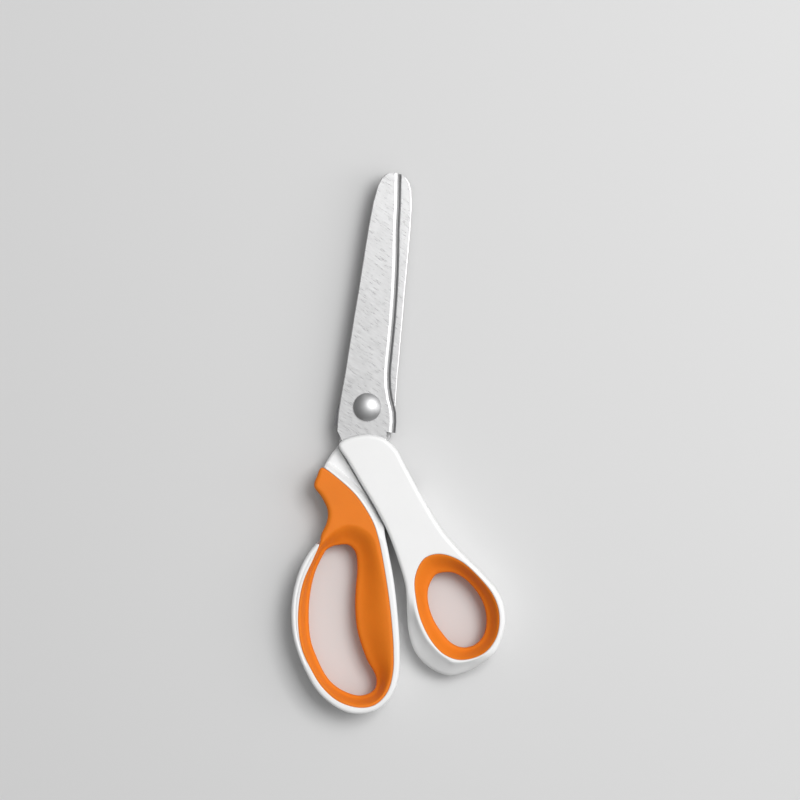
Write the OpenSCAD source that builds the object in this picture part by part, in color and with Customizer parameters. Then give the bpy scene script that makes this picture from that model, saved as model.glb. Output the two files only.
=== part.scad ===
// Pinking shears, 240 mm class, closed.
// Frame: origin on the pivot axis at the flat back of the nut, +Y along the
// closed cutting line towards the tips, +Z up the pivot axis to the thumb side.
// All lengths are in millimetres and all angles in degrees.

/* [Blades] */
// thickness of the blade steel
plate_t = 1.8; // [1.6:0.1:2.0]
// half the space between the two plates
plate_gap = 2.8; // [2.6:0.1:3.0]
// angle of the flange below the plate, above its upright toothed lip
flange_angle = 50; // [47:1:53]
// outside radius of the flange bend
bend_r = 2.2; // [2.0:0.1:2.5]
// radial pitch of the pinking teeth
tooth_pitch = 4.5; // [4:0.25:5]
// height of the teeth from root to crest
tooth_depth = 2.2; // [1.6:0.1:2.4]
// clearance left between the two toothed edges, each side
tooth_clear = 0.05; // [0.03:0.01:0.1]

/* [Pivot] */
// diameter of the domed screw head
head_d = 12.4; // [11.5:0.1:13]
// thread diameter of the pivot screw
screw_d = 5; // [4.5:0.1:5.5]
// bearing diameter of the bush
bush_d = 8; // [7.6:0.1:8.4]
// radial running clearance of the upper blade on the bush
run_clear = 0.05; // [0.03:0.01:0.08]
// diameter of the bush shoulder and the thrust washer
shoulder_d = 14; // [13:0.5:15]
// thickness of the nylon thrust washer
thrust_t = 0.5; // [0.4:0.1:0.8]
// height taken up by the spring washer
spring_t = 0.6; // [0.5:0.1:0.8]
// diameter of the round nut
nut_d = 12; // [11:0.5:13]

/* [Handles] */
// thickness of the whole tool
tool_t = 16; // [15.6:0.1:16.6]
// gap that each handle keeps from the shear plane in the neck
neck_gap = 0.3; // [0.2:0.05:0.4]
// depth of the soft grip face below the hard rim
grip_drop = 0.3; // [0.2:0.05:0.5]
// depth of the finger grip's bed below the shear plane
bed_drop = 0.8; // [0.6:0.1:1.2]
// gap in the model between hard and soft mouldings
mould_gap = 0.03; // [0.02:0.01:0.05]
// points drawn between two outline stations
smoothness = 4; // [3:1:5]

/* [Hidden] */

STEEL = [0.80, 0.81, 0.83];
BRIGHT = [0.70, 0.71, 0.74];
WHITE = [0.95, 0.95, 0.94];
ORANGE = [0.93, 0.46, 0.10];
NYLON = [0.90, 0.89, 0.84];

zm = tool_t / 2;
plate_in = zm + plate_gap;
plate_out = plate_in + plate_t;
lip_z = zm + tooth_depth / 2 + 0.15;
lip_foot = zm - tooth_depth / 2 - 0.1;
nut_h = zm - plate_gap - plate_t;
head_z = plate_out + spring_t;
head_rim = 0.5;
dome_h = tool_t - head_z - head_rim;
dome_r = (head_d * head_d / 4 + dome_h * dome_h) / (2 * dome_h);
bush_bore = screw_d + 0.1;
nut_floor = 0.8;
nut_chamfer = 0.6;
spanner_d = 1.6;
spanner_deep = 1.2;
spanner_r = nut_d / 2 - 1.9;
key_d = 3.6;
key_fit = 0.1;

// Blade stations from tip to heel: y, spine x, toe x.
stations = [
    [104.5, -2.6, 2.4], [103.6, -4.4, 2.5], [101.5, -6.2, 2.7], [98, -7.5, 3.1],
    [91, -8.6, 3.8], [80, -9.3, 4.6], [69, -9.7, 5.8], [60, -10, 6.6],
    [50, -10.3, 7.3], [40, -10.8, 7.8], [30, -11.1, 8.1], [20, -11.5, 8.3],
    [15, -11.6, 8.6], [10, -11.9, 9.4], [5, -12.2, 10.8], [2, -12.3, 12],
    [-1, -12.4, 13], [-5, -12.5, 13.6], [-12, -12.2, 13.9]];
heel_y = -9.9;
tooth_r0 = 19;
tooth_r1 = 106;

// Plate behind the flange, then the tang that each handle is moulded on. The
// tang is ground a little thinner than the plate.
tang_grind = 0.05;
heel = [[-11.9, -9.2], [10, -9.2], [10, -10.5], [10.5, -13.6]];
thumb_tang = [[14, -22], [22, -32.5], [33, -47.5], [26, -52], [15, -44],
    [3, -30], [-7, -17.5], [-11, -13.5], [-12, -12]];
finger_tang = [[9, -20], [2.5, -31], [-3, -47], [-10.5, -47], [-9.5, -30],
    [-9.8, -17.5], [-11, -13.5], [-12, -12]];
thumb_keys = [[9, -29.5], [19.5, -40.5]];
finger_keys = [[-4.5, -28], [-6.5, -39.5]];

// Handle outlines run clockwise: x, y, how far the face edge lies inside it.
thumb_outline = [
    [-10.4, -19, 0.8], [-8.6, -15.7, 1.2], [-3, -13.1, 1.6], [3, -12, 1.8],
    [9, -12.9, 1.8], [15, -17, 1.8], [20, -24, 1.8], [30, -38, 1.8],
    [39.5, -50, 1.8], [50, -59.5, 1.8], [60, -67.3, 1.8], [67.5, -74.2, 1.8],
    [71.3, -81.5, 1.8], [72.3, -90, 1.8], [70, -100, 2.2], [64.5, -106.8, 3.4],
    [57.5, -111.8, 5], [49.5, -114.1, 7], [41, -111.3, 7.8], [34.5, -105.6, 7.6],
    [30.6, -97.5, 5.8], [28.6, -88, 3.4], [26.6, -77, 2], [22, -66, 1.6],
    [15.9, -54.1, 1.4], [9.5, -44.5, 1.3], [0, -32.2, 1.3], [-6, -24.4, 1.1]];
finger_outline = [
    [-11.3, -19.6, 1], [-8.8, -15.6, 1.2], [-3, -13, 1.6], [3, -12, 1.8],
    [8.6, -13, 1.6], [11.4, -18, 1.4], [12.4, -28, 1.4], [13, -40, 1.4],
    [14.2, -53, 1.2], [17, -62, 1.2], [21.1, -75, 1.3], [24.7, -90, 1.3],
    [27.5, -105, 1.3], [28.4, -115, 1.4], [26.9, -124.5, 1.6], [21.5, -132, 1.6],
    [13, -135.4, 1.6], [4, -134.3, 1.6], [-5.5, -128.6, 1.6], [-12.5, -120, 1.5],
    [-18.1, -110, 1.4], [-21.4, -100, 1.4], [-22.6, -88, 1.4], [-21.1, -76, 1.4],
    [-17.7, -67, 1.4], [-13.3, -60.5, 1.5], [-10.8, -55, 1.5], [-10.2, -49, 1.5],
    [-13.6, -42.5, 1.5], [-16.7, -38, 1.5], [-16.5, -33, 1.5], [-15.3, -27, 1.2],
    [-13.2, -22.4, 1]];

// Room that each handle leaves for the other one beyond the shear plane.
thumb_relief = [
    [-20, -8], [45, -8], [45, -26], [28, -33.5], [21, -35], [17, -38],
    [15.4, -42], [15.4, -62], [-20, -62]];
finger_relief = [
    [-18, -9.9], [-6.5, -24.8], [-0.4, -32.7], [9.1, -45.2], [13.4, -51.3],
    [17.5, -57], [26, -57], [26, -9.9]];

thumb_rim = [
    [40, -60.6], [49, -62.4], [57.5, -68], [65.3, -75.5], [69.3, -84],
    [69.3, -94], [64.5, -102], [55.5, -106], [47.5, -104.7], [41, -99.5],
    [35.5, -91.5], [32, -82.5], [30.2, -72.5], [33, -63.8]];
thumb_hole = [
    [42.5, -68.9], [48, -68.7], [54.5, -72], [60.5, -78.2], [63.8, -85.5],
    [64, -93.5], [60.7, -98.8], [55.5, -100.9], [50, -99.6], [45, -95.3],
    [40.8, -90.2], [37.8, -83.8], [36.8, -77], [38.8, -71]];
finger_patch = [
    [-16.6, -29.1, 1.2], [-10, -32.3, 0.2], [0, -39.5, 0.2], [8, -49, 0.2],
    [12, -57, 0.2], [14.8, -65, 0.2], [17.8, -75, 0.2], [20.5, -85, 0.2],
    [22.8, -95, 0.2], [24.7, -105, 0.2], [25.7, -115, 0.2], [24.4, -124, 0.2],
    [19.5, -130.5, 0.2], [12, -132.6, 0.2], [3, -130.8, 0.2], [-4.6, -125.6, 0.2],
    [-10.4, -118.5, 0.2], [-15.6, -110, 0.2], [-18.5, -100, 0.2], [-19.4, -90, 0.2],
    [-18.6, -80, 0.2], [-15.6, -70, 0.3], [-13.6, -63, 0.8], [-13.4, -58.5, 2],
    [-11.7, -53, 2.2], [-12, -47.5, 2.2], [-15.4, -42, 2.2], [-19.1, -37.8, 1.8],
    [-18.4, -33, 1.8]];
finger_rim = [
    [-4, -53.2], [3, -52.8], [9.8, -57], [14.3, -68], [17.4, -78], [20.1, -89],
    [22.6, -100], [24.6, -112], [24.4, -120], [20.8, -128], [13.5, -131.6],
    [4.5, -130.2], [-4, -124.8], [-11.6, -115.6], [-16.7, -104], [-18.4, -90],
    [-17.3, -77], [-13.9, -65.5], [-9.9, -58]];
finger_hole = [
    [-5.5, -62.6], [-1, -62], [2.7, -65], [4.3, -72], [4.7, -81], [5.6, -90],
    [8, -100], [13.2, -111], [18.4, -118.5], [18.3, -124.5], [12.5, -127.8],
    [4.5, -126.5], [-2.6, -122], [-8.6, -113.5], [-12.9, -104], [-15, -90],
    [-14.3, -77], [-11, -66.6], [-8.7, -64]];

// Last station of the patch that the hard rim follows, up to the notch, and the
// corners that take the bed clear of the body there.
rim_end = 22;
bed_corners = [[-30, -63], [-30, -29.6]];

// How a moulded edge rounds over: [height share, share of the inset]. The last
// ring stands proud of the face, which is planed off flat.
edge_round = [[0, 0], [0.45, 0.12], [0.75, 0.4], [0.93, 0.78], [1.04, 1.37]];

function curve_at(a, b, c, d, t) =
    0.5 * (2 * b + (c - a) * t + (2 * a - 5 * b + 4 * c - d) * t * t
    + (3 * b - a - 3 * c + d) * t * t * t);

function smooth(pts) =
    let (n = len(pts))
    [for (i = [0 : n - 1]) for (k = [0 : smoothness - 1])
        curve_at(pts[(i + n - 1) % n], pts[i], pts[(i + 1) % n], pts[(i + 2) % n],
            k / smoothness)];

// Outline moved inwards by k times its own inset.
function inner(c, k) =
    let (n = len(c))
    [for (i = [0 : n - 1])
        let (t = c[(i + 1) % n] - c[(i + n - 1) % n], s = norm([t[0], t[1]]))
        [c[i][0] + k * c[i][2] * t[1] / s, c[i][1] - k * c[i][2] * t[0] / s]];

function lift(c, z) = [for (p = c) [p[0], p[1], z]];

function mix(a, b, t) = [for (i = [0 : len(a) - 1]) a[i] * (1 - t) + b[i] * t];

// Solid through a stack of rings that have the same number of points.
module skin(rings) {
    n = len(rings[0]);
    m = len(rings);
    points = [for (r = rings) for (p = r) p];
    sides = [for (j = [0 : m - 2]) for (i = [0 : n - 1])
        let (a = j * n + i, b = j * n + (i + 1) % n)
        for (f = [[a, b, b + n], [a, b + n, a + n]]) f];
    caps = [[for (i = [n - 1 : -1 : 0]) i], [for (i = [0 : n - 1]) (m - 1) * n + i]];
    polyhedron(points, concat(caps, sides), convexity = 10);
}

// What is left of a shape between two flat faces.
module planed(z0, z1) {
    intersection() {
        children();
        translate([-60, -160, z0])
            cube([180, 180, z1 - z0]);
    }
}

// Moulding from z0 up to the face at z1, rounded over above the shear plane.
module upper_half(outline, z0, z1) {
    c = smooth(outline);
    planed(z0, z1)
        skin(concat([lift(c, z0 - 1)],
            [for (e = edge_round) lift(inner(c, e[1]), zm + (z1 - zm) * e[0])]));
}

// Full-depth moulding with both faces rounded over.
module moulding(outline, z0, z1) {
    c = smooth(outline);
    n = len(edge_round);
    planed(z0, z1)
        skin(concat(
            [for (j = [n - 1 : -1 : 0])
                lift(inner(c, edge_round[j][1]), zm - (zm - z0) * edge_round[j][0])],
            [for (j = [1 : n - 1])
                lift(inner(c, edge_round[j][1]), zm + (z1 - zm) * edge_round[j][0])]));
}

// Block over a straight-sided outline, used to clear room.
module clearance(outline, z0, z1) {
    translate([0, 0, z0])
        linear_extrude(height = z1 - z0, convexity = 6)
            polygon(outline);
}

module prism(outline, z0, z1, grow) {
    translate([0, 0, z0])
        linear_extrude(height = z1 - z0, convexity = 10)
            offset(delta = grow)
                polygon([for (p = smooth(outline)) [p[0], p[1]]]);
}

// Bed for the finger grip: along the hard rim, then straight out at the notch.
module grip_bed(z0, z1, grow) {
    c = smooth(finger_patch);
    translate([0, 0, z0])
        linear_extrude(height = z1 - z0, convexity = 10)
            offset(delta = grow)
                polygon(concat([for (i = [0 : rim_end * smoothness]) [c[i][0], c[i][1]]],
                    bed_corners));
}

// Hour-glass opening: wide at both faces, at its narrowest in the middle.
module funnel(rim, hole, z0, z1) {
    r = smooth(rim);
    h = smooth(hole);
    low = z0 - zm;
    high = z1 - zm;
    skin([
        lift(mix(r, h, 0.02), zm + low - 1),
        lift(mix(r, h, 0.1), zm + low),
        lift(mix(r, h, 0.55), zm + low * 0.72),
        lift(mix(r, h, 0.92), zm + low * 0.4),
        lift(h, zm + low * 0.12),
        lift(h, zm + high * 0.12),
        lift(mix(r, h, 0.92), zm + high * 0.4),
        lift(mix(r, h, 0.55), zm + high * 0.72),
        lift(mix(r, h, 0.1), zm + high),
        lift(mix(r, h, 0.02), zm + high + 1)]);
}

// Cross-section of plate, bend, flange and upright lip at one station.
function bend_x(toe) =
    toe - bend_r * sin(flange_angle)
    - (plate_out - lip_z - bend_r * (1 - cos(flange_angle))) / tan(flange_angle);

function section(s) =
    let (
        b = bend_x(s[2]),
        zc = plate_out - bend_r,
        ri = bend_r - plate_t,
        ti = s[2] - plate_t,
        zi = zc + ri * cos(flange_angle)
            - (ti - b - ri * sin(flange_angle)) * tan(flange_angle))
    concat(
        [[s[1], s[0], plate_out - 0.3], [s[1] + 0.3, s[0], plate_out]],
        [for (a = [0 : flange_angle / 6 : flange_angle + 0.1])
            [b + bend_r * sin(a), s[0], zc + bend_r * cos(a)]],
        [[s[2], s[0], lip_z], [s[2], s[0], lip_foot], [ti, s[0], lip_foot], [ti, s[0], zi]],
        [for (a = [flange_angle : -flange_angle / 3 : -0.1])
            [b + ri * sin(a), s[0], zc + ri * cos(a)]],
        [[s[1] + 0.3, s[0], plate_in], [s[1], s[0], plate_in + 0.3]]);

// Room for the teeth of the other blade: a zigzag along the radius that is the
// same at every angle, so the two edges stay in mesh however far they are open.
module tooth_space(side) {
    count = floor((tooth_r1 - tooth_r0) / (tooth_pitch / 2));
    zig = [for (i = [0 : count])
        [tooth_r0 + (i + 0.5) * tooth_pitch / 2,
            zm + tooth_clear + side * (i % 2 == 0 ? 1 : -1) * tooth_depth / 2]];
    profile = concat([[tooth_r0, zm - 4], [tooth_r0, zm + tooth_clear]], zig,
        [[tooth_r1 + 3, zm + tooth_clear], [tooth_r1 + 3, zm - 4]]);
    skin([for (a = [92 : -2 : 60])
        [for (p = profile) [p[0] * cos(a), p[0] * sin(a), p[1]]]]);
    clearance([[3, -14], [22, -14], [22, 14], [9.4, 17.1], [3.5, 19]],
        zm - 4, zm + tooth_clear);
}

module tang_plate(tang, grow) {
    translate([0, 0, plate_in + tang_grind - grow])
        linear_extrude(height = plate_t - 2 * tang_grind + 2 * grow)
            offset(delta = grow)
                polygon(concat(heel, tang));
}

module blade(side, bore, tang, keys) {
    difference() {
        union() {
            difference() {
                skin([for (s = stations) section(s)]);
                clearance([[-20, heel_y], [20, heel_y], [20, -20], [-20, -20]], 0, tool_t);
            }
            tang_plate(tang, 0);
        }
        tooth_space(side);
        cylinder(h = 3 * tool_t, d = bore, center = true, $fn = 96);
        for (k = keys)
            translate([k[0], k[1], plate_in - 1])
                cylinder(h = plate_t + 2, d = key_d, $fn = 48);
    }
}

// Room for the plate and tang, with the pegs that lock the moulding to it.
module tang_pocket(tang, keys) {
    difference() {
        tang_plate(tang, mould_gap);
        for (k = keys)
            translate([k[0], k[1], plate_in - 1])
                cylinder(h = plate_t + 2, d = key_d - key_fit, $fn = 48);
    }
}

// Turns a shape over about the Y line in the shear plane.
module turned_over() {
    translate([0, 0, 2 * zm])
        rotate([0, 180, 0])
            children();
}

module upper_blade() {
    color(STEEL)
        blade(1, bush_d + 2 * run_clear, thumb_tang, thumb_keys);
}

module lower_blade() {
    color(STEEL)
        turned_over()
            blade(-1, screw_d + 0.06, finger_tang, finger_keys);
}

module thumb_handle() {
    color(WHITE)
        difference() {
            moulding(thumb_outline, 0, tool_t);
            clearance(thumb_relief, -1, zm + neck_gap);
            prism(thumb_rim, -1, tool_t + 1, 0);
            tang_pocket(thumb_tang, thumb_keys);
        }
}

module thumb_grip() {
    color(ORANGE)
        difference() {
            prism(thumb_rim, grip_drop, tool_t - grip_drop, -mould_gap);
            funnel(thumb_rim, thumb_hole, grip_drop, tool_t - grip_drop);
        }
}

module finger_handle() {
    color(WHITE)
        difference() {
            moulding(finger_outline, 0, tool_t);
            clearance(finger_relief, zm - neck_gap, tool_t + 1);
            grip_bed(zm - bed_drop, tool_t + 1, mould_gap);
            prism(finger_rim, -1, tool_t + 1, 0);
            turned_over()
                tang_pocket(finger_tang, finger_keys);
        }
}

module finger_grip() {
    color(ORANGE)
        difference() {
            union() {
                upper_half(finger_patch, zm - bed_drop + mould_gap, tool_t - grip_drop);
                prism(finger_rim, grip_drop, zm, -mould_gap);
            }
            funnel(finger_rim, finger_hole, grip_drop, tool_t - grip_drop);
        }
}

module pivot_screw() {
    r = head_d / 2;
    tip_z = nut_floor + 0.1;
    steps = 14;
    dome = [for (i = [0 : steps])
        let (a = asin(r / dome_r) * (1 - i / steps))
        [i == steps ? 0 : dome_r * sin(a), tool_t - dome_r + dome_r * cos(a)]];
    color(BRIGHT)
        rotate_extrude($fn = 96)
            polygon(concat([[0, tip_z], [screw_d / 2 - 0.4, tip_z],
                [screw_d / 2, tip_z + 0.4], [screw_d / 2, head_z], [r, head_z]], dome));
}

module pivot_bush() {
    sleeve_top = head_z;
    shoulder_top = plate_in - thrust_t;
    color(BRIGHT)
        difference() {
            union() {
                translate([0, 0, zm - plate_gap])
                    cylinder(h = shoulder_top - zm + plate_gap, d = shoulder_d, $fn = 96);
                translate([0, 0, zm])
                    cylinder(h = sleeve_top - zm, d = bush_d, $fn = 96);
            }
            cylinder(h = 2 * tool_t, d = bush_bore, $fn = 64);
        }
}

module thrust_washer() {
    color(NYLON)
        translate([0, 0, plate_in - thrust_t])
            difference() {
                cylinder(h = thrust_t, d = shoulder_d, $fn = 96);
                translate([0, 0, -1])
                    cylinder(h = thrust_t + 2, d = bush_d + 0.2, $fn = 96);
            }
}

module spring_washer() {
    inner_r = bush_d / 2 + 0.1;
    outer_r = head_d / 2 - 0.4;
    sheet = spring_t * 0.55;
    color(BRIGHT)
        translate([0, 0, plate_out])
            rotate_extrude($fn = 96)
                polygon([[inner_r, spring_t - sheet], [outer_r, 0], [outer_r, sheet],
                    [inner_r, spring_t]]);
}

module pivot_nut() {
    r = nut_d / 2;
    color(BRIGHT)
        difference() {
            rotate_extrude($fn = 96)
                polygon([[0, 0], [r - nut_chamfer, 0], [r, nut_chamfer], [r, nut_h],
                    [0, nut_h]]);
            translate([0, 0, nut_floor])
                cylinder(h = nut_h, d = screw_d + 0.04, $fn = 64);
            for (s = [-1, 1])
                translate([s * spanner_r, 0, -1])
                    cylinder(h = spanner_deep + 1, d = spanner_d, $fn = 32);
        }
}

upper_blade();
lower_blade();
thumb_handle();
thumb_grip();
finger_handle();
finger_grip();
pivot_screw();
pivot_bush();
thrust_washer();
spring_washer();
pivot_nut();
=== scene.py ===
import math

import bmesh
import bpy
import numpy as np
from mathutils import Matrix, Vector
from mathutils.geometry import delaunay_2d_cdt


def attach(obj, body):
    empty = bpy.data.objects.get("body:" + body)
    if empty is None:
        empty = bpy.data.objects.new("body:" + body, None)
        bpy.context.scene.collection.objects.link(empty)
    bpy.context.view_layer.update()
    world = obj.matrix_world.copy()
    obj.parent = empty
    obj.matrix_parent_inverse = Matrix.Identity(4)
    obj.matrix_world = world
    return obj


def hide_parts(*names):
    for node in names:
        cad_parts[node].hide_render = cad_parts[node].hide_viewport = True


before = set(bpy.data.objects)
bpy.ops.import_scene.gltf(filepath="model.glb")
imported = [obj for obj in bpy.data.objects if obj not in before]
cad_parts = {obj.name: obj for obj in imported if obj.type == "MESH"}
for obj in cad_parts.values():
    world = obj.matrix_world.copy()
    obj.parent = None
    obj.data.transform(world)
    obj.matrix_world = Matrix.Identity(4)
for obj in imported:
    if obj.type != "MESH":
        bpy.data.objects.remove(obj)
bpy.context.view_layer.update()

MM = 0.001
ZM = 8.0
TOP = 16.0
BODY_A = "finger_side"
BODY_B = "thumb_side"


# ---------------------------------------------------------------- curves, mm

def spline(points, per=10):
    """Closed Catmull-Rom curve through the stations."""
    p = np.array(points, float)
    n = len(p)
    out = []
    for i in range(n):
        a, b, c, d = p[(i - 1) % n], p[i], p[(i + 1) % n], p[(i + 2) % n]
        for k in range(per):
            t = k / per
            out.append(0.5 * (2 * b + (c - a) * t + (2 * a - 5 * b + 4 * c - d) * t * t
                              + (3 * b - a - 3 * c + d) * t ** 3))
    return np.array(out)


def even(curve, step, closed=True):
    """The same curve with evenly spaced points; extra columns ride along."""
    c = np.vstack([curve, curve[:1]]) if closed else curve
    s = np.r_[0, np.cumsum(np.linalg.norm(np.diff(c[:, :2], axis=0), axis=1))]
    n = max(4, int(round(s[-1] / step)))
    t = np.linspace(0, s[-1], n + 1)
    if closed:
        t = t[:-1]
    return np.column_stack([np.interp(t, s, c[:, k]) for k in range(c.shape[1])])


def offset(curve, d):
    """Curve moved sideways by d: positive is to the right of the way it runs."""
    t = np.roll(curve[:, :2], -1, 0) - np.roll(curve[:, :2], 1, 0)
    t /= np.linalg.norm(t, axis=1)[:, None] + 1e-12
    out = curve.copy()
    out[:, 0] += t[:, 1] * d
    out[:, 1] -= t[:, 0] * d
    return out


def distance(p, curve, closed=True, values=None):
    """Distance of each point to a polyline, and a value carried by its points."""
    a = curve[:, :2]
    b = np.roll(a, -1, 0)
    va = None if values is None else np.asarray(values, float)
    vb = None if va is None else np.roll(va, -1)
    if not closed:
        a, b = a[:-1], b[:-1]
        va = None if va is None else va[:-1]
        vb = None if vb is None else vb[:-1]
    ab = b - a
    ll = (ab ** 2).sum(1) + 1e-12
    best = np.empty(len(p))
    val = np.empty(len(p))
    for i in range(0, len(p), 2000):
        q = p[i:i + 2000, None, :]
        t = np.clip(((q - a) * ab).sum(2) / ll, 0, 1)
        d2 = ((q - a - t[..., None] * ab) ** 2).sum(2)
        k = d2.argmin(1)
        r = np.arange(len(k))
        best[i:i + 2000] = np.sqrt(d2[r, k])
        if va is not None:
            val[i:i + 2000] = va[k] + t[r, k] * (vb[k] - va[k])
    return best if values is None else (best, val)


def inside(p, curve):
    x, y = p[:, 0][:, None], p[:, 1][:, None]
    a = curve[:, :2]
    b = np.roll(a, -1, 0)
    cut = (a[:, 1] > y) != (b[:, 1] > y)
    dy = np.where(b[:, 1] == a[:, 1], 1e-12, b[:, 1] - a[:, 1])
    xi = a[:, 0] + (y - a[:, 1]) * (b[:, 0] - a[:, 0]) / dy
    return (cut & (x < xi)).sum(1) % 2 == 1


def ramp(x, lo, hi):
    t = np.clip((np.asarray(x, float) - lo) / (hi - lo), 0, 1)
    return t * t * (3 - 2 * t)


def round_edge(d, r):
    """How far a rounded edge of radius r has dropped at distance d inside it."""
    k = np.clip(1 - np.where(d < 1e-4, 0, d) / r, 0, 1)
    return r * (1 - np.sqrt(np.maximum(0, 1 - k * k)))


# ---------------------------------------------------------------- mesh making

RINGS = (0.05, 0.15, 0.3, 0.5, 0.75, 1.05, 1.4, 1.85, 2.4)


class Shell:
    """Collects height sheets and walls, then welds them into one mesh."""

    def __init__(self):
        self.v = []
        self.f = []

    def _add(self, pts, faces):
        n = len(self.v)
        self.v.extend(map(tuple, pts))
        self.f.extend([tuple(n + i for i in f) for f in faces])

    def sheet(self, outer, holes, height, up=True, grid=0.9, rings=RINGS, extra=()):
        loops = [outer[:, :2]] + [h[:, :2] for h in holes]
        lo, hi = outer[:, :2].min(0), outer[:, :2].max(0)
        ys = np.arange(lo[1], hi[1], grid * 0.866)
        lattice = []
        for j, y in enumerate(ys):
            xs = np.arange(lo[0] + (j % 2) * grid / 2, hi[0], grid)
            lattice.append(np.column_stack([xs, np.full(len(xs), y)]))
        lattice = np.vstack(lattice)
        edge_d = np.min([distance(lattice, q) for q in loops], axis=0)
        lattice = lattice[edge_d > rings[-1] + grid * 0.45]
        ring_pts = []
        for d in rings:
            for loop in loops:
                for side in (d, -d):
                    q = offset(loop, side)[:, :2]
                    near = np.min([distance(q, o) for o in loops], axis=0)
                    ring_pts.append(q[near > d * 0.93])
        for q in extra:
            near = np.min([distance(q[:, :2], o) for o in loops], axis=0)
            ring_pts.append(q[near > 0.2, :2])
        cand = np.vstack(ring_pts + [lattice])
        keep = inside(cand, loops[0])
        for h in loops[1:]:
            keep &= ~inside(cand, h)
        cand = cand[keep]
        key = np.round(cand / 0.02).astype(int)
        _, first = np.unique(key, axis=0, return_index=True)
        cand = cand[np.sort(first)]
        allp = np.vstack(loops + [cand])
        edges, start = [], 0
        for q in loops:
            n = len(q)
            edges += [(start + i, start + (i + 1) % n) for i in range(n)]
            start += n
        # output type 1 keeps only what the outline encloses, so no sliver outside a straight run
        res = delaunay_2d_cdt([Vector(p) for p in allp], edges, [], 1, 1e-7)
        rv = np.array([(p.x, p.y) for p in res[0]])
        rf = res[2]
        cen = np.array([rv[list(f)].mean(0) for f in rf])
        ok = np.ones(len(rf), bool)
        for h in loops[1:]:
            ok &= ~inside(cen, h)
        faces = [f if up else tuple(reversed(f)) for f, k in zip(rf, ok) if k]
        z = height(rv)
        self._add(np.column_stack([rv, z]), faces)

    def wall(self, curve, low, high, steps=1, outward=True):
        """Strip between two heights along a closed curve."""
        c = curve[:, :2]
        n = len(c)
        zl = low(c) if callable(low) else np.full(n, float(low))
        zh = high(c) if callable(high) else np.full(n, float(high))
        rows = []
        for k in range(steps + 1):
            rows.append(np.column_stack([c, zl + (zh - zl) * k / steps]))
        faces = []
        for k in range(steps):
            for i in range(n):
                a, b = k * n + i, k * n + (i + 1) % n
                f = (a, b, b + n, a + n)
                faces.append(f if outward else f[::-1])
        self._add(np.vstack(rows), faces)

    def build(self, name, sharp=38.0, weld=0.004):
        me = bpy.data.meshes.new(name)
        me.from_pydata([(x * MM, y * MM, z * MM) for x, y, z in self.v], [], self.f)
        bm = bmesh.new()
        bm.from_mesh(me)
        bmesh.ops.remove_doubles(bm, verts=bm.verts, dist=weld * MM)
        bmesh.ops.dissolve_degenerate(bm, dist=weld * MM, edges=bm.edges)
        bmesh.ops.recalc_face_normals(bm, faces=bm.faces)
        for f in bm.faces:
            f.smooth = True
        for e in bm.edges:
            if len(e.link_faces) == 2 and e.calc_face_angle(0.0) > math.radians(sharp):
                e.smooth = False
        bm.to_mesh(me)
        bm.free()
        ob = bpy.data.objects.new(name, me)
        bpy.context.scene.collection.objects.link(ob)
        return ob


def join(name, parts):
    """One object out of several, keeping every part's mesh as it is."""
    bm = bmesh.new()
    for o in parts:
        bm.from_mesh(o.data)
    me = bpy.data.meshes.new(name)
    bm.to_mesh(me)
    bm.free()
    for o in parts:
        bpy.data.objects.remove(o)
    ob = bpy.data.objects.new(name, me)
    bpy.context.scene.collection.objects.link(ob)
    return ob


def revolve(name, profile, steps=96, sharp=35.0):
    """Turned piece about the pivot axis from (radius, height) points in mm."""
    v, f = [], []
    for r, z in profile:
        for i in range(steps):
            a = 2 * math.pi * i / steps
            v.append((r * math.cos(a) * MM, r * math.sin(a) * MM, z * MM))
    m = len(profile)
    for j in range(m - 1):
        for i in range(steps):
            a, b = j * steps + i, j * steps + (i + 1) % steps
            f.append((a, b, b + steps, a + steps))
    me = bpy.data.meshes.new(name)
    me.from_pydata(v, [], f)
    bm = bmesh.new()
    bm.from_mesh(me)
    bmesh.ops.remove_doubles(bm, verts=bm.verts, dist=1e-7)
    bmesh.ops.dissolve_degenerate(bm, dist=1e-7, edges=bm.edges)
    bmesh.ops.recalc_face_normals(bm, faces=bm.faces)
    for q in bm.faces:
        q.smooth = True
    for e in bm.edges:
        if len(e.link_faces) == 2 and e.calc_face_angle(0.0) > math.radians(sharp):
            e.smooth = False
    bm.to_mesh(me)
    bm.free()
    ob = bpy.data.objects.new(name, me)
    bpy.context.scene.collection.objects.link(ob)
    return ob


# ---------------------------------------------------------------- outlines, mm

# Stations of the design, clockwise: x, y and, for three of them, how far the
# face edge lies inside the outline.
THUMB_OUT = [
    (-10.4, -19, 0.8), (-8.6, -15.7, 1.2), (-3, -13.1, 1.6), (3, -12, 1.8), (9, -12.9, 1.8),
    (15, -17, 1.8), (20, -24, 1.8), (30, -38, 1.8), (39.5, -50, 1.8), (50, -59.5, 1.8),
    (60, -67.3, 1.8), (67.5, -74.2, 1.8), (71.3, -81.5, 1.8), (72.3, -90, 1.8),
    (70, -100, 2.2), (64.5, -106.8, 3.4), (57.5, -111.8, 5), (49.5, -114.1, 7),
    (41, -111.3, 7.8), (34.5, -105.6, 7.6), (30.6, -97.5, 5.8), (28.6, -88, 3.4),
    (26.6, -77, 2), (22, -66, 1.6), (15.9, -54.1, 1.4), (9.5, -44.5, 1.3), (0, -32.2, 1.3),
    (-6, -24.4, 1.1)]
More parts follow.
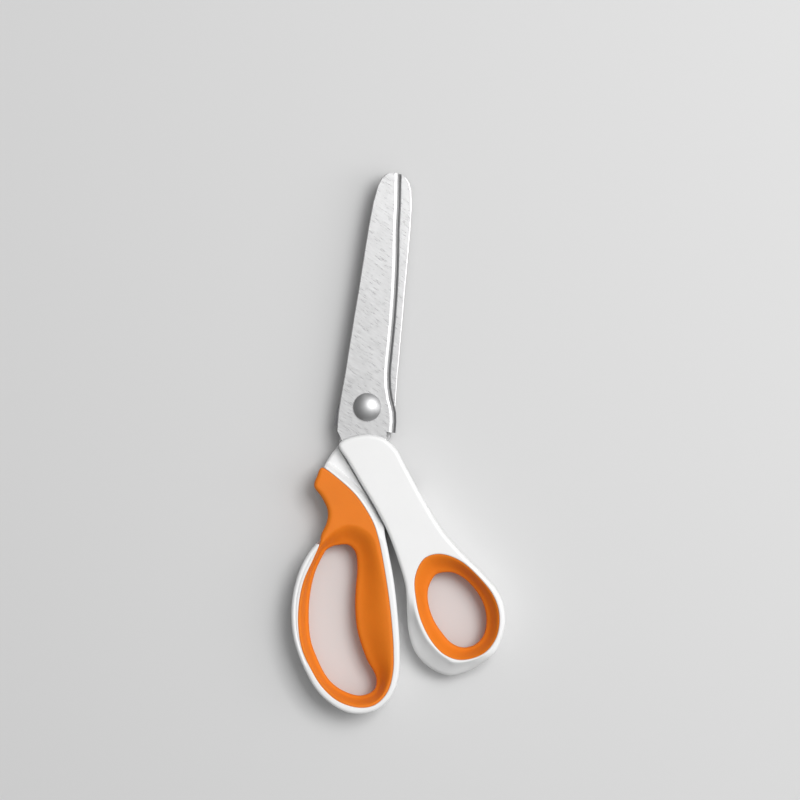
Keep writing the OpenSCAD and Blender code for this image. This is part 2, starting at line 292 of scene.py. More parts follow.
FINGER_OUT = [
    (-11.3, -19.6, 1), (-8.8, -15.6, 1.2), (-3, -13, 1.6), (3, -12, 1.8), (8.6, -13, 1.6),
    (11.4, -18, 1.4), (12.4, -28, 1.4), (13, -40, 1.4), (14.2, -53, 1.2), (17, -62, 1.2),
    (21.1, -75, 1.3), (24.7, -90, 1.3), (27.5, -105, 1.3), (28.4, -115, 1.4),
    (26.9, -124.5, 1.6), (21.5, -132, 1.6), (13, -135.4, 1.6), (4, -134.3, 1.6),
    (-5.5, -128.6, 1.6), (-12.5, -120, 1.5), (-18.1, -110, 1.4), (-21.4, -100, 1.4),
    (-22.6, -88, 1.4), (-21.1, -76, 1.4), (-17.7, -67, 1.4), (-13.3, -60.5, 1.5),
    (-10.8, -55, 1.5), (-10.2, -49, 1.5), (-13.6, -42.5, 1.5), (-16.7, -38, 1.5),
    (-16.5, -33, 1.5), (-15.3, -27, 1.2), (-13.2, -22.4, 1)]
THUMB_RIM = [
    (40, -60.6), (49, -62.4), (57.5, -68), (65.3, -75.5), (69.3, -84), (69.3, -94),
    (64.5, -102), (55.5, -106), (47.5, -104.7), (41, -99.5), (35.5, -91.5), (32, -82.5),
    (30.2, -72.5), (33, -63.8)]
THUMB_HOLE = [
    (42.5, -68.9), (48, -68.7), (54.5, -72), (60.5, -78.2), (63.8, -85.5), (64, -93.5),
    (60.7, -98.8), (55.5, -100.9), (50, -99.6), (45, -95.3), (40.8, -90.2), (37.8, -83.8),
    (36.8, -77), (38.8, -71)]
FINGER_PATCH = [
    (-16.6, -29.1, 1.2), (-10, -32.3, 0.2), (0, -39.5, 0.2), (8, -49, 0.2), (12, -57, 0.2),
    (14.8, -65, 0.2), (17.8, -75, 0.2), (20.5, -85, 0.2), (22.8, -95, 0.2), (24.7, -105, 0.2),
    (25.7, -115, 0.2), (24.4, -124, 0.2), (19.5, -130.5, 0.2), (12, -132.6, 0.2),
    (3, -130.8, 0.2), (-4.6, -125.6, 0.2), (-10.4, -118.5, 0.2), (-15.6, -110, 0.2),
    (-18.5, -100, 0.2), (-19.4, -90, 0.2), (-18.6, -80, 0.2), (-15.6, -70, 0.3),
    (-13.6, -63, 0.8), (-13.4, -58.5, 2), (-11.7, -53, 2.2), (-12, -47.5, 2.2),
    (-15.4, -42, 2.2), (-19.1, -37.8, 1.8), (-18.4, -33, 1.8)]
FINGER_RIM = [
    (-4, -53.2), (3, -52.8), (9.8, -57), (14.3, -68), (17.4, -78), (20.1, -89), (22.6, -100),
    (24.6, -112), (24.4, -120), (20.8, -128), (13.5, -131.6), (4.5, -130.2), (-4, -124.8),
    (-11.6, -115.6), (-16.7, -104), (-18.4, -90), (-17.3, -77), (-13.9, -65.5), (-9.9, -58)]
FINGER_HOLE = [
    (-5.5, -62.6), (-1, -62), (2.7, -65), (4.3, -72), (4.7, -81), (5.6, -90), (8, -100),
    (13.2, -111), (18.4, -118.5), (18.3, -124.5), (12.5, -127.8), (4.5, -126.5), (-2.6, -122),
    (-8.6, -113.5), (-12.9, -104), (-15, -90), (-14.3, -77), (-11, -66.6), (-8.7, -64)]
RELIEF = [
    (-18, -9.9), (-6.5, -24.8), (-0.4, -32.7), (9.1, -45.2), (13.4, -51.3), (17.5, -57),
    (26, -57), (26, -9.9)]
RIM_END = 22
PER = 12

thumb_out = even(spline(THUMB_OUT, PER), 0.55)
thumb_rim = even(spline(THUMB_RIM, PER), 0.55)
thumb_hole = even(spline(THUMB_HOLE, PER), 0.55)
finger_out = even(spline(FINGER_OUT, PER), 0.55)
finger_rim = even(spline(FINGER_RIM, PER), 0.55)
finger_hole = even(spline(FINGER_HOLE, PER), 0.55)
patch_fine = spline(FINGER_PATCH, PER)
patch = even(patch_fine[:, :2], 0.55)
GAP = 0.06

# ---------------------------------------------------------------- regions

def signed(p, poly):
    """Distance to a polygon's edge, positive outside it."""
    d = distance(p, poly)
    return np.where(inside(p, poly), -d, d)


def clip_run(curve, keep, closed=True):
    """The longest run of a curve on which keep(points) holds, with true end points."""
    c = np.vstack([curve, curve[:1]])[:, :2] if closed else curve[:, :2]
    k = keep(c)
    if closed:
        c, k = c[:-1], k[:-1]
        start = int(np.flatnonzero(~k)[0])
        c, k = np.roll(c, -start, 0), np.roll(k, -start)
    runs, i = [], 0
    while i < len(c):
        if k[i]:
            j = i
            while j + 1 < len(c) and k[j + 1]:
                j += 1
            runs.append((i, j))
            i = j
        i += 1
    out = []
    for i, j in runs:
        pts = [c[n] for n in range(i, j + 1)]
        for a, b, put in ((i, i - 1, 0), (j, j + 1, len(pts))):
            b = b % len(c) if closed else b
            if 0 <= b < len(c) and not k[b]:
                ins, outs = c[a], c[b]
                for _ in range(24):
                    mid = (ins + outs) / 2
                    if keep(mid[None])[0]:
                        ins = mid
                    else:
                        outs = mid
                pts.insert(len(pts) if put else 0, ins)
        out.append(np.array(pts))
    return sorted(out, key=len, reverse=True)


relief = np.array(RELIEF, float)
bed = np.vstack([patch_fine[:RIM_END * PER + 1, :2], [(-30, -63), (-30, -29.6)]])
relief_line = even(relief[:6], 0.4, closed=False)
rim_side = even(patch_fine[:RIM_END * PER + 1, :2], 0.45, closed=False)

long_side, heel_side = clip_run(finger_out, lambda p: ~inside(p, relief) & ~inside(p, bed))[:2]
stem_side = clip_run(relief_line, lambda p: inside(p, finger_out) & ~inside(p, bed), closed=False)[0]
bar_side = clip_run(rim_side, lambda p: inside(p, finger_out) & ~inside(p, relief), closed=False)[0]
# round the loop: right rib and round to the bar, back along the rim, up the heel, down the stem
band = np.vstack([long_side, bar_side[::-1], heel_side, stem_side])
band = even(band, 0.45)

# ---------------------------------------------------------------- thumb handle

FACE = 15.95
EDGE_R = 1.6
SOFT_FACE = 15.7
NECK_GAP, NECK_ROUND = 0.32, 0.7
RIM_ROUND = 0.45
# the face edge turns into a sloping skirt where it lies this far inside the outline
SKIRT_FROM, SKIRT_FULL = 2.1, 4.6
SKIRT_DROP, SKIRT_CURVE = 6.5, 0.8
SKIRT_LINE, SKIRT_LINE_W = 0.22, 0.3
THUMB_RELIEF = np.array([
    (-20, -8), (45, -8), (45, -26), (28, -33.5), (21, -35), (17, -38), (15.4, -42),
    (15.4, -62), (-20, -62)], float)


def thumb_top(p):
    d, inset = distance(p, thumb_out, values=thumb_out[:, 2])
    skirt = ramp(inset, SKIRT_FROM, SKIRT_FULL)
    s = np.clip(d / inset, 0, 1)
    z = np.full(len(p), FACE)
    z -= skirt * SKIRT_DROP * (1 - s) ** SKIRT_CURVE
    z -= skirt * SKIRT_LINE * np.exp(-((d - inset) / SKIRT_LINE_W) ** 2)
    z -= round_edge(d, EDGE_R)
    return z - round_edge(distance(p, thumb_rim), RIM_ROUND)


def thumb_bottom(p):
    z = 2 * ZM - thumb_top(p)
    step = ramp(signed(p, THUMB_RELIEF), 0.0, 0.9)
    neck = ZM + NECK_GAP + round_edge(distance(p, thumb_out), NECK_ROUND)
    return np.where(step > 0, np.minimum(neck, z * step + neck * (1 - step)), neck)


relief_rings = [offset(even(THUMB_RELIEF, 0.5), d) for d in (0, -0.3, -0.6, -0.95, 0.25)]
s = Shell()
s.sheet(thumb_out, [thumb_rim], thumb_top)
s.sheet(thumb_out, [thumb_rim], thumb_bottom, up=False, extra=relief_rings)
s.wall(thumb_out, thumb_bottom, thumb_top, steps=4)
s.wall(thumb_rim, thumb_bottom, thumb_top, outward=False)
thumb_body = s.build("thumb_shell")


def liner(outer, hole, face, drop, lip=2.0):
    """Soft funnel: it leaves the rim gently, falls, and eases into a rounded lip."""
    def z(p):
        do, dh = distance(p, outer), distance(p, hole)
        t = np.clip(do / np.maximum(do + dh - lip * 0.6, 1e-6), 0, 1)
        h = face - drop * (0.3 * t + 0.7 * t * t * (3 - 2 * t))
        return h - round_edge(do, 0.3) - round_edge(dh, lip)
    return z


THUMB_DROP, THUMB_LIP = 5.4, 1.7
thumb_edge = even(offset(thumb_rim, GAP), 0.55)
soft = liner(thumb_edge, thumb_hole, SOFT_FACE, THUMB_DROP, THUMB_LIP)
s = Shell()
s.sheet(thumb_edge, [thumb_hole], soft, grid=0.8)
s.sheet(thumb_edge, [thumb_hole], lambda p: 2 * ZM - soft(p), up=False, grid=0.8)
s.wall(thumb_edge, lambda p: 2 * ZM - soft(p), soft)
s.wall(thumb_hole, lambda p: 2 * ZM - soft(p), soft, steps=6, outward=False)
thumb_liner = s.build("thumb_liner")

# ---------------------------------------------------------------- finger handle

PLATE_TOP = ZM - NECK_GAP
BED_TOP = ZM - 0.86
BAND_FACE = 15.9
STRIP_DROP, STRIP_FROM, STRIP_TO = 5.6, 0.5, 3.2
CREASE_IN, CREASE_DEPTH, CREASE_W = 1.85, 0.34, 0.32


def band_top(p):
    out_d = distance(p, finger_out)
    rim_d = distance(p, rim_side, closed=False)
    stem_d = distance(p, relief_line, closed=False)
    z = np.full(len(p), BAND_FACE)
    # beside the grip the shoulder drops quickly, then runs low to the other stem
    fall = ramp(p[:, 1], -58, -47)
    z -= STRIP_DROP * fall * ramp(rim_d, STRIP_FROM, STRIP_TO)
    # fine parting crease along the left bar
    bar = ramp(p[:, 0], -10, -14) * ramp(p[:, 1], -122, -114) * ramp(p[:, 1], -63.5, -67)
    z -= CREASE_DEPTH * bar * np.exp(-((out_d - CREASE_IN) / CREASE_W) ** 2)
    z -= round_edge(out_d, EDGE_R * 0.9)
    z -= round_edge(rim_d, 0.35)
    return z - fall * round_edge(stem_d, 0.5)


def plate_top(p):
    return PLATE_TOP - (PLATE_TOP - BED_TOP) * ramp(signed(p, relief), 0.05, 0.5)


def plate_bottom(p):
    return 0.03 + round_edge(distance(p, finger_out), EDGE_R) + round_edge(distance(p, finger_rim), 0.4)


BAND_BASE = BED_TOP - 0.2
s = Shell()
s.sheet(band, [], band_top, grid=0.8)
s.sheet(band, [], lambda p: np.full(len(p), BAND_BASE), up=False, grid=2.5, rings=(0.5,))
s.wall(band, BAND_BASE, band_top, steps=3)
upper_part = s.build("band")
s = Shell()
relief_in = [offset(even(relief, 0.5), d) for d in (0, -0.25, -0.5, 0.25)]
s.sheet(finger_out, [finger_rim], plate_top, extra=relief_in)
s.sheet(finger_out, [finger_rim], plate_bottom, up=False)
s.wall(finger_out, plate_bottom, plate_top, steps=3)
s.wall(finger_rim, plate_bottom, plate_top, outward=False)
lower_part = s.build("plate")
finger_body = join("finger_shell", [upper_part, lower_part])

rim_edge = even(offset(finger_rim, GAP), 0.55)
patch_edge = even(offset(patch, GAP), 0.5)
patch_inset = even(patch_fine, 0.5)
FUNNEL_DROP, FUNNEL_LIP = 5.6, 1.9
slope_top = liner(finger_rim, finger_hole, SOFT_FACE, FUNNEL_DROP, FUNNEL_LIP)


def soft_top(p):
    d, inset = distance(p, patch_inset, values=patch_inset[:, 2])
    level_rim = slope_top(p) + round_edge(distance(p, finger_rim), 0.3)
    z = np.where(inside(p, finger_rim), level_rim, SOFT_FACE)
    return z - round_edge(d, np.maximum(0.35, inset))


def soft_bottom(p):
    return 2 * ZM - liner(rim_edge, finger_hole, SOFT_FACE, FUNNEL_DROP, FUNNEL_LIP)(p)


PATCH_BASE = BED_TOP + 0.06
s = Shell()
s.sheet(patch_edge, [finger_hole], soft_top, grid=0.8,
        extra=[finger_rim, offset(finger_rim, 0.5), offset(finger_rim, -0.5)])
s.wall(patch_edge, PATCH_BASE, soft_top, steps=3)
s.sheet(patch_edge, [rim_edge], lambda p: np.full(len(p), PATCH_BASE), up=False, grid=2.5, rings=(0.4,))
s.wall(rim_edge, soft_bottom, PATCH_BASE)
s.sheet(rim_edge, [finger_hole], soft_bottom, up=False, grid=0.8)
s.wall(finger_hole, soft_bottom, soft_top, steps=6, outward=False)
finger_liner = s.build("finger_liner")

# ---------------------------------------------------------------- blades

PLATE_IN, PLATE_OUT = 10.8, 12.6
FLANGE = math.radians(65)
BEND_R = 2.2
LIP_Z = 9.25
EDGE, EDGE_MID, SUPPORT = 0.25, 0.08, 0.42
ROW_STEP = 0.2
LAND_STEPS = 6
HEEL_Y = -9.9
STATIONS = np.array([
    (104.5, -2.6, 2.4), (103.6, -4.4, 2.5), (101.5, -6.2, 2.7), (98, -7.5, 3.1), (91, -8.6, 3.8),
    (80, -9.3, 4.6), (69, -9.7, 5.8), (60, -10, 6.6), (50, -10.3, 7.3), (40, -10.8, 7.8),
    (30, -11.1, 8.1), (20, -11.5, 8.3), (15, -11.6, 8.6), (10, -11.9, 9.4), (5, -12.2, 10.8),
    (2, -12.3, 12), (-1, -12.4, 13), (-5, -12.5, 13.6), (-12, -12.2, 13.9)])[::-1]
HEEL = np.array([(-11.9, -9.2), (10, -9.2), (10, -10.5), (10.5, -13.6), (10.6, -17.5),
                 (-8, -18.5), (-11, -13.5), (-12, -12)])
PITCH, DEPTH, R0, CLEAR = 4.5, 2.2, 19.0, 0.05


def tooth_z(r, side):
    """Height of the toothed edge at a radius from the pivot, as in the design."""
    if r <= R0:
        return ZM + CLEAR
    half = PITCH / 2
    u = (r - R0) / half - 0.5
    i = math.floor(u)
    lo = 1 if i % 2 == 0 else -1
    if u < 0:
        return ZM + CLEAR + side * (u * 2 + 1) * DEPTH / 2
    return ZM + CLEAR + side * DEPTH / 2 * (lo + (-2 * lo) * (u - i))


def blade(name, side, bore):
    """Plate, bend, flange and toothed lip swept from heel to tip, with a heel piece."""
    plate_t = PLATE_OUT - PLATE_IN
    r_in, zc = BEND_R - plate_t, PLATE_OUT - BEND_R
    sin_f, cos_f, tan_f = math.sin(FLANGE), math.cos(FLANGE), math.tan(FLANGE)
    run = BEND_R * sin_f + (PLATE_OUT - LIP_Z - BEND_R * (1 - cos_f)) / tan_f
    ys = np.arange(HEEL_Y, STATIONS[-1, 0] + 1e-4, ROW_STEP)
    sx = np.interp(ys, STATIONS[:, 0], STATIONS[:, 1])
    ex = np.interp(ys, STATIONS[:, 0], STATIONS[:, 2])
    rows = []
    for y, x0, toe in zip(ys, sx, ex):
        b = toe - run
        top_in = (b + r_in * sin_f, zc + r_in * cos_f)

        def inner_x(z):
            return min(toe - plate_t, top_in[0] + (top_in[1] - z) / tan_f)

        sec = [(x0, PLATE_IN + EDGE), (x0, PLATE_OUT - EDGE), (x0 + EDGE_MID, PLATE_OUT - EDGE_MID),
               (x0 + EDGE, PLATE_OUT), (x0 + SUPPORT, PLATE_OUT)]
        sec += [(x0 + (b - x0) * t, PLATE_OUT) for t in (0.35, 0.65)]
        sec += [(b - 0.1, PLATE_OUT)]
        sec += [(b + BEND_R * math.sin(a), zc + BEND_R * math.cos(a)) for a in np.linspace(0, FLANGE, 12)]
        sec += [(toe - 0.15, LIP_Z + 0.15 * tan_f), (toe - 0.03, LIP_Z + 0.02), (toe, LIP_Z - 0.05)]
        for k in range(LAND_STEPS + 1):
            x = toe
            for _ in range(3 if k else 1):
                z = tooth_z(math.hypot(x, y), side)
                x = toe - (toe - inner_x(z)) * k / LAND_STEPS
            sec.append((x, z))
        low = (toe - plate_t, top_in[1] - (toe - plate_t - top_in[0]) * tan_f)
        sec.append(low if sec[-1][1] < low[1] else sec[-1])
        sec += [(b + r_in * math.sin(a), zc + r_in * math.cos(a)) for a in np.linspace(FLANGE, 0, 5)]
        sec += [(b - 0.1, PLATE_IN), (x0 + (b - x0) * 0.5, PLATE_IN), (x0 + SUPPORT, PLATE_IN),
                (x0 + EDGE, PLATE_IN), (x0 + EDGE_MID, PLATE_IN + EDGE_MID)]
        rows.append([(x, y, z) for x, z in sec])
    n = len(rows[0])
    s = Shell()
    f = [(j * n + i, j * n + (i + 1) % n, (j + 1) * n + (i + 1) % n, (j + 1) * n + i)
         for j in range(len(rows) - 1) for i in range(n)]
    f += [tuple(range(n)), tuple(reversed(range((len(rows) - 1) * n, len(rows) * n)))]
    s._add([q for r in rows for q in r], f)
    swept = s.build(name + "_sweep", sharp=32, weld=0.008)
    s = Shell()
    m = len(HEEL)
    g, c = 0.05, 0.15
    inner = offset(HEEL, 0.12)
    layers = [(inner, PLATE_IN + g), (HEEL, PLATE_IN + g + c),
              (HEEL, PLATE_OUT - g - c), (inner, PLATE_OUT - g)]
    s._add([(x, y, z) for loop, z in layers for x, y in loop],
           [(k * m + i, k * m + (i + 1) % m, (k + 1) * m + (i + 1) % m, (k + 1) * m + i)
            for k in range(3) for i in range(m)] + [tuple(range(m)), tuple(reversed(range(3 * m, 4 * m)))])
    return join(name, [bored(swept, bore / 2), s.build(name + "_heel", sharp=30)])


def bored(ob, r):
    """Cuts a round hole along the pivot axis and applies it to the mesh."""
    me = bpy.data.meshes.new("drill")
    bm = bmesh.new()
    bmesh.ops.create_cone(bm, cap_ends=True, segments=96, radius1=r * MM, radius2=r * MM, depth=0.06)
    bm.to_mesh(me)
    bm.free()
    drill = bpy.data.objects.new("drill", me)
    bpy.context.scene.collection.objects.link(drill)
    mod = ob.modifiers.new("bore", "BOOLEAN")
    mod.operation, mod.solver, mod.object = "DIFFERENCE", "EXACT", drill
    deps = bpy.context.evaluated_depsgraph_get()
    done = bpy.data.meshes.new_from_object(ob.evaluated_get(deps))
    ob.modifiers.clear()
    ob.data = done
    bpy.data.objects.remove(drill)
    return ob


def flip(ob):
    """Turns a piece over about the Y line in the shear plane."""
    ob.data.transform(Matrix(((-1, 0, 0, 0), (0, 1, 0, 0), (0, 0, -1, 2 * ZM * MM), (0, 0, 0, 1))))
    return ob


BUSH_BORE, SCREW_BORE = 8.1, 5.06
upper = blade("upper_plate", 1, BUSH_BORE)
lower = flip(blade("lower_plate", -1, SCREW_BORE))

# ---------------------------------------------------------------- pivot screw

HEAD_R, HEAD_Z, DOME_RIM, SHANK_R, SHANK_Z = 6.2, 13.2, 0.5, 2.5, 0.9
dome_h = TOP - HEAD_Z - DOME_RIM
dome_r = (HEAD_R ** 2 + dome_h ** 2) / (2 * dome_h)
profile = [(0, SHANK_Z), (SHANK_R - 0.4, SHANK_Z), (SHANK_R, SHANK_Z + 0.4),
           (SHANK_R, HEAD_Z), (HEAD_R - 0.2, HEAD_Z),
           (HEAD_R - 0.06, HEAD_Z + 0.06), (HEAD_R, HEAD_Z + 0.2)]
profile += [(dome_r * math.sin(a), TOP - dome_r + dome_r * math.cos(a))
            for a in np.linspace(math.asin(HEAD_R / dome_r), 0, 26)]
screw = revolve("screw_dome", profile)


# ---------------------------------------------------------------- materials

def shader(name):
    m = bpy.data.materials.new(name)
    m.use_nodes = True
    nt = m.node_tree
    return m, nt, nt.nodes["Principled BSDF"]


def add(nt, kind, **inputs):
    n = nt.nodes.new(kind)
    for k, v in inputs.items():
        if k.startswith("p_"):
            setattr(n, k[2:], v)
        else:
            n.inputs[k.replace("_", " ")].default_value = v
    return n


def span(nt, src, lo, hi, a=0.0, b=1.0):
    n = add(nt, "ShaderNodeMapRange")
    n.inputs["From Min"].default_value = a
    n.inputs["From Max"].default_value = b
    n.inputs["To Min"].default_value = lo
    n.inputs["To Max"].default_value = hi
    nt.links.new(src, n.inputs["Value"])
    return n.outputs["Result"]


def mapped(nt, stretch=(1, 1, 1), turn=0.0):
    """Object coordinates, turned about Z and then stretched along the new axes."""
    tc = add(nt, "ShaderNodeTexCoord")
    mp = add(nt, "ShaderNodeMapping", p_vector_type="TEXTURE")
    mp.inputs["Scale"].default_value = stretch
    mp.inputs["Rotation"].default_value = (0, 0, math.radians(turn))
    nt.links.new(tc.outputs["Object"], mp.inputs["Vector"])
    return mp.outputs["Vector"]


def noise(nt, vec, scale, detail=4.0, rough=0.6, distortion=0.0):
    n = add(nt, "ShaderNodeTexNoise")
    n.inputs["Scale"].default_value = scale
    n.inputs["Detail"].default_value = detail
    n.inputs["Roughness"].default_value = rough
    n.inputs["Distortion"].default_value = distortion
    nt.links.new(vec, n.inputs["Vector"])
    return n.outputs["Fac"]


def tint(nt, fac, stops):
    r = add(nt, "ShaderNodeValToRGB")
    r.color_ramp.elements[0].position = stops[0][0]
    r.color_ramp.elements[0].color = (*stops[0][1], 1)
    r.color_ramp.elements[1].position = stops[-1][0]
    r.color_ramp.elements[1].color = (*stops[-1][1], 1)
    for pos, col in stops[1:-1]:
        e = r.color_ramp.elements.new(pos)
        e.color = (*col, 1)
    nt.links.new(fac, r.inputs["Fac"])
    return r.outputs["Color"]


def bump(nt, bs, fac, strength, dist):
    b = add(nt, "ShaderNodeBump")
    b.inputs["Strength"].default_value = strength
    b.inputs["Distance"].default_value = dist
    nt.links.new(fac, b.inputs["Height"])
    nt.links.new(b.outputs["Normal"], bs.inputs["Normal"])
    return b


def mix_fac(nt, a, b, t):
    n = add(nt, "ShaderNodeMix", p_data_type="FLOAT")
    nt.links.new(a, n.inputs[2])
    nt.links.new(b, n.inputs[3])
    n.inputs[0].default_value = t
    return n.outputs[0]


def brushed_steel(name, base, angle, rough=0.32, contrast=0.08, toe=None):
    """Steel with fine strokes along one direction, broken by broader ones."""
    m, nt, bs = shader(name)
    fine = noise(nt, mapped(nt, (9, 1, 1), angle), 2900, 4, 0.65)
    broad = noise(nt, mapped(nt, (6, 1, 1), angle - 7), 1400, 4, 0.6, 0.3)
    cloud = noise(nt, mapped(nt), 70, 3, 0.5)
    grain = mix_fac(nt, fine, broad, 0.4)
    col = tint(nt, mix_fac(nt, grain, cloud, 0.2), [
        (0.36, tuple(c * (1 - contrast) for c in base)), (0.5, base),
        (0.64, tuple(min(1, c * (1 + contrast)) for c in base))])
    if toe:
        # painted reflection: lighter towards the toothed edge than at the bend
        split = add(nt, "ShaderNodeSeparateXYZ")
        nt.links.new(mapped(nt), split.inputs[0])
        lift = add(nt, "ShaderNodeMath", p_operation="SUBTRACT")
        nt.links.new(split.outputs["Z"], lift.inputs[0])
        lift.inputs[1].default_value = ZM * MM
        height = add(nt, "ShaderNodeMath", p_operation="ABSOLUTE")
        nt.links.new(lift.outputs[0], height.inputs[0])
        painted_reflection_gain = span(nt, height.outputs[0], toe, 1.0, 0.0012, 0.0036)
        scale = add(nt, "ShaderNodeVectorMath", p_operation="SCALE")
        nt.links.new(col, scale.inputs[0])
        nt.links.new(painted_reflection_gain, scale.inputs["Scale"])
        col = scale.outputs[0]
    nt.links.new(col, bs.inputs["Base Color"])
    bs.inputs["Metallic"].default_value = 1.0
    nt.links.new(span(nt, grain, rough - 0.08, rough + 0.1, 0.35, 0.65), bs.inputs["Roughness"])
    bump(nt, bs, grain, 0.16, 0.00004)
    return m


def polished_steel(name, base, rough):
    m, nt, bs = shader(name)
    v = mapped(nt)
    haze = noise(nt, v, 240, 5, 0.65)
    fine = noise(nt, v, 2600, 3, 0.6)
    col = tint(nt, haze, [(0.3, tuple(c * 0.93 for c in base)), (0.7, base)])
    nt.links.new(col, bs.inputs["Base Color"])
    bs.inputs["Metallic"].default_value = 1.0
    nt.links.new(span(nt, haze, rough - 0.04, rough + 0.07, 0.3, 0.7), bs.inputs["Roughness"])
    bump(nt, bs, fine, 0.05, 0.00003)
    return m


def hard_plastic(name, base):
    m, nt, bs = shader(name)
    v = mapped(nt)
    cloud = noise(nt, v, 34, 4, 0.5)
    fine = noise(nt, v, 1500, 4, 0.6)
    col = tint(nt, cloud, [(0.3, tuple(c * 0.975 for c in base)), (0.7, base)])
    nt.links.new(col, bs.inputs["Base Color"])
    nt.links.new(span(nt, fine, 0.30, 0.42, 0.3, 0.7), bs.inputs["Roughness"])
    bs.inputs["IOR"].default_value = 1.49
    bs.inputs["Subsurface Weight"].default_value = 0.12
    bs.inputs["Subsurface Radius"].default_value = (0.9, 0.9, 0.9)
    bs.inputs["Subsurface Scale"].default_value = 0.0012
    bump(nt, bs, fine, 0.06, 0.00003)
    return m


def soft_plastic(name, base):
    m, nt, bs = shader(name)
    v = mapped(nt)
    cloud = noise(nt, v, 42, 4, 0.55)
    fine = noise(nt, v, 1900, 5, 0.7)
    col = tint(nt, mix_fac(nt, cloud, fine, 0.3), [
        (0.3, tuple(c * 0.9 for c in base)), (0.7, tuple(min(1, c * 1.04) for c in base))])
    nt.links.new(col, bs.inputs["Base Color"])
    nt.links.new(span(nt, fine, 0.5, 0.66, 0.3, 0.7), bs.inputs["Roughness"])
    bs.inputs["Specular IOR Level"].default_value = 0.25
    bs.inputs["Subsurface Weight"].default_value = 0.1
    bs.inputs["Subsurface Radius"].default_value = (1.0, 0.45, 0.2)
    bs.inputs["Subsurface Scale"].default_value = 0.0015
    bump(nt, bs, fine, 0.16, 0.00006)
    return m


GRAIN = 155
MAT_BLADE = brushed_steel("blade_brushed_steel", (0.54, 0.54, 0.542), GRAIN)
# painted dark reflection and shade: the flange is the blade steel given a near-black colour
MAT_FLANGE_PAINTED_SHADE = brushed_steel("flange_steel_painted_shade", (0.055, 0.055, 0.057), 90, 0.3, 0.08, 4.0)
MAT_SCREW = polished_steel("screw_polished_steel", (0.60, 0.60, 0.605), 0.46)
MAT_FITTING = polished_steel("fitting_steel", (0.5, 0.5, 0.52), 0.32)
MAT_WHITE = hard_plastic("white_moulding", (0.86, 0.86, 0.858))
MAT_ORANGE = soft_plastic("orange_elastomer", (0.84, 0.215, 0.013))
MAT_NYLON = hard_plastic("nylon_natural", (0.72, 0.70, 0.62))


def dress(ob, mat, body, node):
    ob.data.materials.clear()
    ob.data.materials.append(mat)
    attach(ob, body)
    if node:
        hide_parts(node)


dress(upper, MAT_BLADE, BODY_B, "upper_blade")
dress(lower, MAT_BLADE, BODY_A, "lower_blade")
FLANGE_TOP, FLANGE_TILT = 3.3, 0.7
for ob, hand in ((upper, 1), (lower, -1)):
    # the toothed flange and the lip land get a darker steel than the brushed plate: painted dark
    # reflection on the flange, painted shade on the land
    ob.data.materials.append(MAT_FLANGE_PAINTED_SHADE)
    for f in ob.data.polygons:
        level = abs(f.center.z / MM - ZM)
        if (hand * f.center.x > 0 and f.center.y > HEEL_Y * MM and level < FLANGE_TOP
                and (abs(f.normal.x) > FLANGE_TILT or level < LIP_Z - ZM)):
            f.material_index = 1
dress(thumb_body, MAT_WHITE, BODY_B, "thumb_handle")
dress(thumb_liner, MAT_ORANGE, BODY_B, "thumb_grip")
dress(finger_body, MAT_WHITE, BODY_A, "finger_handle")
dress(finger_liner, MAT_ORANGE, BODY_A, "finger_grip")
dress(screw, MAT_SCREW, BODY_A, "pivot_screw")
for node, mat in (("pivot_bush", MAT_FITTING), ("spring_washer", MAT_FITTING),
                  ("pivot_nut", MAT_FITTING), ("thrust_washer", MAT_NYLON)):
    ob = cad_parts[node]
    for s_ in ob.material_slots:
        s_.material = mat

# ---------------------------------------------------------------- stage

def plane(name, size, z, mat):
    me = bpy.data.meshes.new(name)
    h = size / 2
    me.from_pydata([(-h, -h, z), (h, -h, z), (h, h, z), (-h, h, z)], [], [(0, 1, 2, 3)])
    me.materials.append(mat)
    ob = bpy.data.objects.new(name, me)
    bpy.context.scene.collection.objects.link(ob)
    return ob


m, nt, bs = shader("floor_pale")
bs.inputs["Base Color"].default_value = (0.66, 0.66, 0.66, 1)
bs.inputs["Roughness"].default_value = 0.75
plane("floor", 6.0, -0.0002, m)


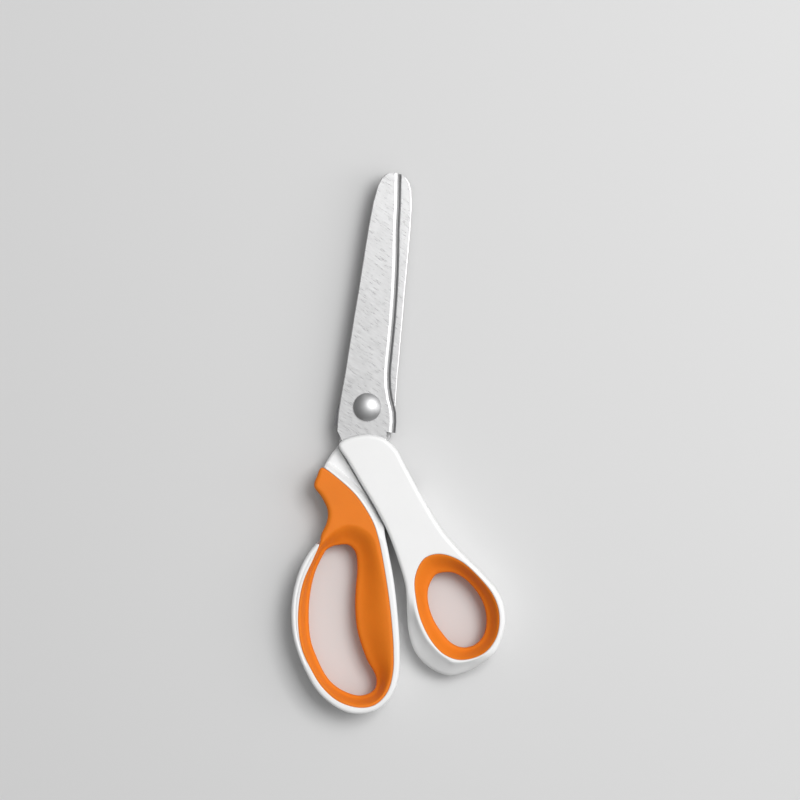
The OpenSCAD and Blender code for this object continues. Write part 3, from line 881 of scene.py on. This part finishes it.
def area(name, loc, target, size, power, colour=(1, 1, 1)):
    d = bpy.data.lights.new(name, "AREA")
    d.shape = "RECTANGLE"
    d.size, d.size_y = size
    d.energy = power
    d.color = colour
    ob = bpy.data.objects.new(name, d)
    bpy.context.scene.collection.objects.link(ob)
    ob.location = loc
    ob.rotation_euler = (Vector(target) - Vector(loc)).to_track_quat("-Z", "Y").to_euler()
    return ob


AIM = (0.02, -0.02, 0)
KEY_FROM = Vector((0.60, 0.52, 0.0)).normalized()
KEY_TILT = math.radians(62)
KEY_FAR = 1.6
key_at = (KEY_FROM * math.cos(KEY_TILT) + Vector((0, 0, math.sin(KEY_TILT)))) * KEY_FAR
area("key", key_at, AIM, (0.8, 0.8), 16.0)
area("side", (1.15, 0.1, 0.75), AIM, (0.6, 0.9), 2.7)

# studio surround: bright overhead, darker towards the horizon and away from the key
world = bpy.data.worlds.new("studio")
bpy.context.scene.world = world
world.use_nodes = True
wt = world.node_tree
direction = wt.nodes.new("ShaderNodeTexCoord").outputs["Generated"]
lean = wt.nodes.new("ShaderNodeVectorMath")
lean.operation = "DOT_PRODUCT"
lean.inputs[1].default_value = (0.26, 0.22, 0.94)
wt.links.new(direction, lean.inputs[0])
square = add(wt, "ShaderNodeMath", p_operation="POWER")
wt.links.new(lean.outputs["Value"], square.inputs[0])
square.inputs[1].default_value = 2.0
square.use_clamp = True
level = span(wt, square.outputs["Value"], 0.08, 0.83)
wt.links.new(level, wt.nodes["Background"].inputs["Strength"])
wt.nodes["Background"].inputs["Color"].default_value = (1, 1, 1, 1)
bpy.context.scene.view_settings.view_transform = "Standard"

# camera straight above, rolled so that the blades lean to the right
cam_data = bpy.data.cameras.new("camera")
cam_data.sensor_width = 36.0
cam_data.lens = 150.0
cam_data.clip_end = 20.0
cam = bpy.data.objects.new("camera", cam_data)
bpy.context.scene.collection.objects.link(cam)
FIELD = 0.3556
dist = FIELD * cam_data.lens / cam_data.sensor_width
cam.location = (0.0140, 0.0049, 0.010 + dist)
cam.rotation_euler = (0, 0, math.radians(7.05))
bpy.context.scene.camera = cam
